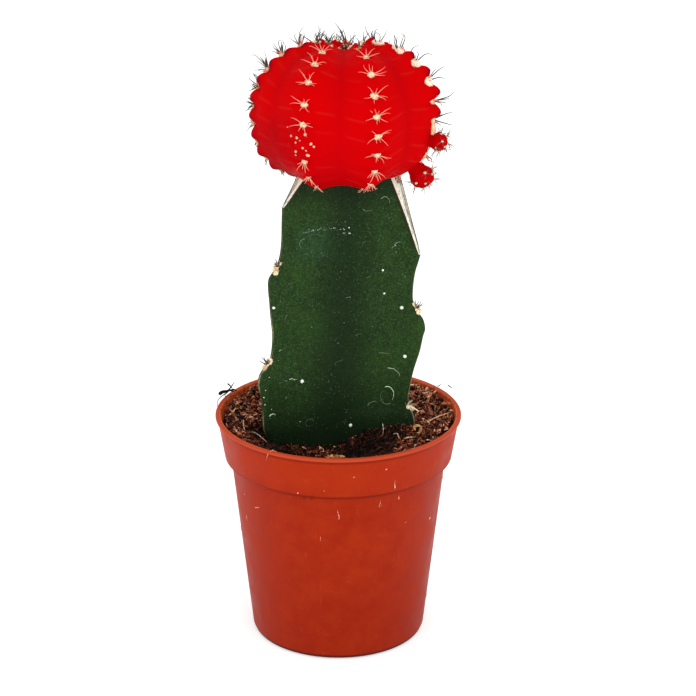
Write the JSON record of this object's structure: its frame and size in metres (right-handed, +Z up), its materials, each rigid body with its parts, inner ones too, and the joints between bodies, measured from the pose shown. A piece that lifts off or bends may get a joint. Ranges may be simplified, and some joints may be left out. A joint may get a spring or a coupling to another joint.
{
  "type": "potted moon cactus",
  "caption": "Small grafted cactus: a ribbed red ball with wool and spines on a three-winged green stem, planted in potting mix in a tapered plastic pot.",
  "frame": {"origin": "centre of the pot's underside, in the plane that it stands on", "axes": "+Z up along the plant; the broad face of the green stem looks along -Y, and +X is to the right of someone facing it"},
  "size_m": [0.055, 0.055, 0.1379],
  "materials": {
    "pot": "semi-matte terracotta-coloured plastic with faint scuffs",
    "potting_mix": "moist dark peat with reddish crumbs",
    "stem_skin": "waxy dark green skin, satin",
    "scion_skin": "saturated red skin, satin",
    "wool": "felted cream wool",
    "spines": "dry horn-coloured spines",
    "cut_flesh": "dried ivory cut with brown streaks",
    "fibre": "dry plant fibre, bark and twig"
  },
  "bodies": {
    "root": {"pot": "pot", "soil": "potting_mix", "rootstock": "stem_skin", "scion": "scion_skin"}
  },
  "joints": []
}
